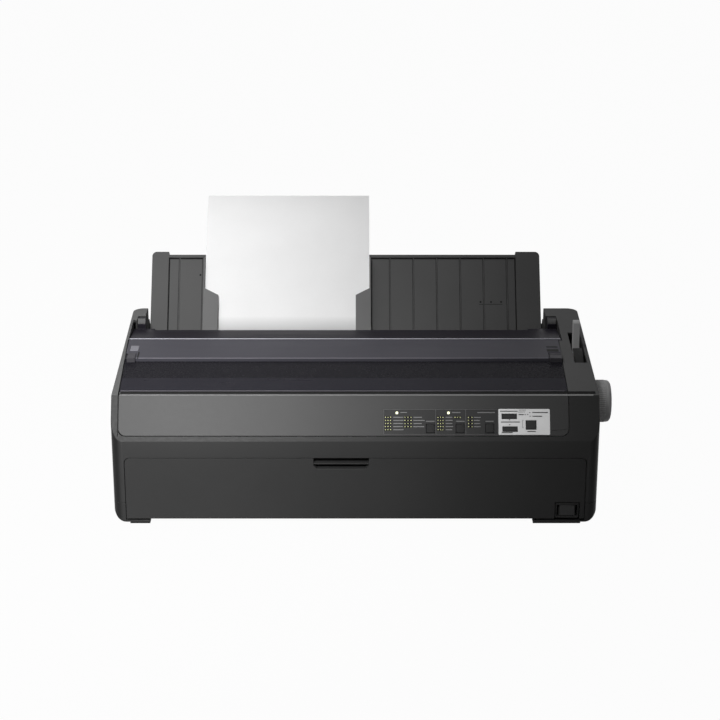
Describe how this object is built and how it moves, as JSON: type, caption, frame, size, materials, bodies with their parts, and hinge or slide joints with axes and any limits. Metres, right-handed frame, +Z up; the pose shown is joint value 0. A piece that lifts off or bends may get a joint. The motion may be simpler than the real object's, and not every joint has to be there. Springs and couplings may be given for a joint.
{
  "type": "dot matrix printer",
  "caption": "Wide-carriage impact printer with hinged smoked covers, a front flap, a leaning paper guide with edge guides, a platen knob and a lever.",
  "frame": {"origin": "middle of the bounding box, on the surface that the feet stand on", "axes": "+X across the machine to the right, +Y to the back, +Z up"},
  "size_m": [0.5866, 0.4069, 0.2835],
  "materials": {
    "case_lower": "fine moulded texture",
    "case_upper": "fine moulded texture",
    "panel_plastic": "fine moulded texture",
    "dark_label": "satin film",
    "silver_film": "satin film",
    "board_resin": "solder mask",
    "lamp_lens": "lit lens",
    "flap_plastic": "fine moulded texture",
    "smoked_window": "smoked, polished",
    "smoked_cover": "smoked, satin",
    "guide_plastic": "fine moulded texture",
    "edge_guide_plastic": "translucent grey",
    "paper": "uncoated paper",
    "chute_plastic": "smooth",
    "plated_steel": "zinc plated",
    "platen_rubber": "ground matt",
    "shaft_steel": "ground",
    "gear_plastic": "self-lubricating",
    "knob_plastic": "fine moulded texture",
    "bush_plastic": "smooth",
    "motor_steel": "plated",
    "pinion_brass": "cut",
    "tractor_plastic": "smooth",
    "sprocket_plastic": "smooth",
    "carriage_plastic": "glass filled",
    "head_alloy": "die cast",
    "cartridge_plastic": "smooth",
    "ribbon_fabric": "inked nylon",
    "winder_plastic": "smooth",
    "belt_rubber": "matt",
    "pulley_alloy": "turned",
    "roller_rubber": "matt",
    "lever_plastic": "fine moulded texture",
    "gap_lever_plastic": "smooth",
    "dark_key": "satin",
    "grey_key": "satin",
    "rocker_plastic": "smooth",
    "supply_steel": "zinc plated",
    "inlet_plastic": "smooth",
    "socket_metal": "nickel plated",
    "foot_rubber": "matt",
    "screw_steel": "zinc plated"
  },
  "bodies": {
    "case": {"lower_case": "case_lower", "upper_case": "case_upper", "control_panel": "panel_plastic", "select_label": "dark_label", "silver_label": "silver_film", "panel_board": "board_resin", "status_lamps": "lamp_lens", "paper_sheet": "paper", "paper_chute": "chute_plastic", "side_frame_left": "plated_steel", "side_frame_right": "plated_steel", "front_rail": "plated_steel", "platen_bushes": "bush_plastic", "feed_motor": "motor_steel", "stub_pins": "shaft_steel", "tractor_rail": "shaft_steel", "carriage_shaft": "shaft_steel", "ribbon_cartridge": "cartridge_plastic", "ribbon_band": "ribbon_fabric", "carriage_belt": "belt_rubber", "carriage_motor": "motor_steel", "main_board": "board_resin", "power_supply": "supply_steel", "power_inlet": "inlet_plastic", "port_sockets": "socket_metal", "rubber_feet": "foot_rubber", "case_screws": "screw_steel"},
    "front_flap": {"front_flap": "flap_plastic"},
    "rear_cover": {"rear_cover": "smoked_cover"},
    "window_cover": {"window_cover": "smoked_window"},
    "paper_guide": {"paper_guide": "guide_plastic"},
    "edge_guide_left": {"edge_guide_left": "edge_guide_plastic"},
    "edge_guide_right": {"edge_guide_right": "edge_guide_plastic"},
    "platen": {"platen_roller": "platen_rubber", "platen_shaft": "shaft_steel", "platen_gear": "gear_plastic", "platen_knob": "knob_plastic"},
    "feed_pinion": {"feed_pinion": "pinion_brass"},
    "idler_gear": {"idler_gear": "gear_plastic"},
    "tractor_drive": {"tractor_shaft": "shaft_steel", "tractor_gear": "gear_plastic"},
    "tractor_left": {"tractor_left": "tractor_plastic"},
    "tractor_right": {"tractor_right": "tractor_plastic"},
    "sprocket_left": {"sprocket_left": "sprocket_plastic"},
    "sprocket_right": {"sprocket_right": "sprocket_plastic"},
    "pressure_rollers": {"pressure_rollers": "roller_rubber"},
    "carriage": {"carriage": "carriage_plastic", "print_head": "head_alloy"},
    "drive_pulley": {"drive_pulley": "pulley_alloy"},
    "idler_pulley": {"idler_pulley": "pulley_alloy"},
    "ribbon_knob": {"ribbon_knob": "winder_plastic"},
    "release_lever": {"release_lever": "lever_plastic"},
    "head_gap_lever": {"head_gap_lever": "gap_lever_plastic"},
    "select_button_left": {"select_button_left": "dark_key"},
    "select_button_middle": {"select_button_middle": "dark_key"},
    "select_button_right": {"select_button_right": "dark_key"},
    "load_button": {"load_button": "grey_key"},
    "feed_button": {"feed_button": "grey_key"},
    "pause_button": {"pause_button": "grey_key"},
    "power_rocker": {"power_rocker": "rocker_plastic"}
  },
  "joints": [
    {"name": "flap_hinge", "type": "hinge", "parent": "case", "child": "front_flap", "pos_m": [-0.0133, -0.19897, 0.012], "axis": [1, 0, 0], "range_deg": [0, 82]},
    {"name": "rear_cover_hinge", "type": "hinge", "parent": "case", "child": "rear_cover", "pos_m": [-0.0133, 0.03953, 0.1642], "axis": [-1, 0, 0], "range_deg": [0, 70]},
    {"name": "window_hinge", "type": "hinge", "parent": "rear_cover", "child": "window_cover", "pos_m": [-0.0133, -0.07347, 0.1585], "axis": [-1, 0, 0], "range_deg": [0, 95]},
    {"name": "guide_tilt", "type": "hinge", "parent": "case", "child": "paper_guide", "pos_m": [-0.0133, 0.08065, 0.13607], "axis": [-1, 0, 0], "range_deg": [0, 40], "deforming": ["paper_sheet"]},
    {"name": "edge_left_slide", "type": "slide", "parent": "paper_guide", "child": "edge_guide_left", "axis": [-1, 0, 0], "range_m": [0, 0.04]},
    {"name": "edge_right_slide", "type": "slide", "parent": "paper_guide", "child": "edge_guide_right", "axis": [1, 0, 0], "range_m": [0, 0.18]},
    {"name": "platen_turn", "type": "hinge", "parent": "case", "child": "platen", "pos_m": [-0.0133, -0.07347, 0.1023], "axis": [1, 0, 0], "continuous": true},
    {"name": "feed_pinion_turn", "type": "hinge", "parent": "case", "child": "feed_pinion", "pos_m": [-0.0133, -0.09097, 0.07199], "axis": [1, 0, 0], "continuous": true},
    {"name": "idler_gear_turn", "type": "hinge", "parent": "case", "child": "idler_gear", "pos_m": [-0.0133, -0.01768, 0.08839], "axis": [1, 0, 0], "continuous": true},
    {"name": "tractor_drive_turn", "type": "hinge", "parent": "case", "child": "tractor_drive", "pos_m": [-0.0133, 0.02617, 0.07827], "axis": [1, 0, 0], "continuous": true},
    {"name": "pressure_rollers_turn", "type": "hinge", "parent": "case", "child": "pressure_rollers", "pos_m": [-0.0133, -0.07347, 0.0783], "axis": [1, 0, 0], "continuous": true},
    {"name": "tractor_left_slide", "type": "slide", "parent": "case", "child": "tractor_left", "axis": [1, 0, 0], "range_m": [0, 0.06]},
    {"name": "tractor_right_slide", "type": "slide", "parent": "case", "child": "tractor_right", "axis": [-1, 0, 0], "range_m": [0, 0.15]},
    {"name": "sprocket_left_turn", "type": "hinge", "parent": "tractor_left", "child": "sprocket_left", "pos_m": [-0.2183, 0.02617, 0.07827], "axis": [1, 0, 0], "continuous": true},
    {"name": "sprocket_right_turn", "type": "hinge", "parent": "tractor_right", "child": "sprocket_right", "pos_m": [0.1617, 0.02617, 0.07827], "axis": [1, 0, 0], "continuous": true},
    {"name": "carriage_slide", "type": "slide", "parent": "case", "child": "carriage", "axis": [1, 0, 0], "range_m": [0, 0.33]},
    {"name": "drive_pulley_turn", "type": "hinge", "parent": "case", "child": "drive_pulley", "pos_m": [-0.2393, -0.14747, 0.059], "axis": [0, 0, 1], "range_deg": [-2300, 0]},
    {"name": "idler_pulley_turn", "type": "hinge", "parent": "case", "child": "idler_pulley", "pos_m": [0.1827, -0.14747, 0.059], "axis": [0, 0, 1], "range_deg": [-2300, 0]},
    {"name": "ribbon_knob_turn", "type": "hinge", "parent": "case", "child": "ribbon_knob", "pos_m": [-0.2253, -0.14947, 0.126], "axis": [0, 0, 1], "continuous": true},
    {"name": "release_lever_turn", "type": "hinge", "parent": "case", "child": "release_lever", "pos_m": [0.2537, -0.04547, 0.11], "axis": [1, 0, 0], "range_deg": [0, 40]},
    {"name": "head_gap_lever_turn", "type": "hinge", "parent": "case", "child": "head_gap_lever", "pos_m": [-0.2651, -0.11347, 0.074], "axis": [1, 0, 0], "range_deg": [0, 30]},
    {"name": "power_rocker_turn", "type": "hinge", "parent": "case", "child": "power_rocker", "pos_m": [0.2318, -0.19547, 0.0163], "axis": [0, 0, 1], "range_deg": [0, 10]},
    {"name": "select_left_press", "type": "slide", "parent": "case", "child": "select_button_left", "axis": [0, 0.8711, -0.4911], "range_m": [0, 0.001], "stiffness_N_per_m": 300},
    {"name": "select_middle_press", "type": "slide", "parent": "case", "child": "select_button_middle", "axis": [0, 0.8711, -0.4911], "range_m": [0, 0.001], "stiffness_N_per_m": 300},
    {"name": "select_right_press", "type": "slide", "parent": "case", "child": "select_button_right", "axis": [0, 0.8711, -0.4911], "range_m": [0, 0.001], "stiffness_N_per_m": 300},
    {"name": "load_press", "type": "slide", "parent": "case", "child": "load_button", "axis": [0, 0.8711, -0.4911], "range_m": [0, 0.001], "stiffness_N_per_m": 300},
    {"name": "feed_press", "type": "slide", "parent": "case", "child": "feed_button", "axis": [0, 0.8711, -0.4911], "range_m": [0, 0.001], "stiffness_N_per_m": 300},
    {"name": "pause_press", "type": "slide", "parent": "case", "child": "pause_button", "axis": [0, 0.8711, -0.4911], "range_m": [0, 0.001], "stiffness_N_per_m": 300}
  ],
  "couplings": [
    {"joint": "feed_pinion_turn", "follows": "platen_turn", "ratio": -2.5},
    {"joint": "idler_gear_turn", "follows": "platen_turn", "ratio": -0.76923},
    {"joint": "tractor_drive_turn", "follows": "platen_turn", "ratio": 2},
    {"joint": "sprocket_left_turn", "follows": "platen_turn", "ratio": 2},
    {"joint": "sprocket_right_turn", "follows": "platen_turn", "ratio": 2},
    {"joint": "pressure_rollers_turn", "follows": "platen_turn", "ratio": -3.1579},
    {"joint": "drive_pulley_turn", "follows": "carriage_slide", "rad_per_m": -120},
    {"joint": "idler_pulley_turn", "follows": "carriage_slide", "rad_per_m": -120}
  ]
}
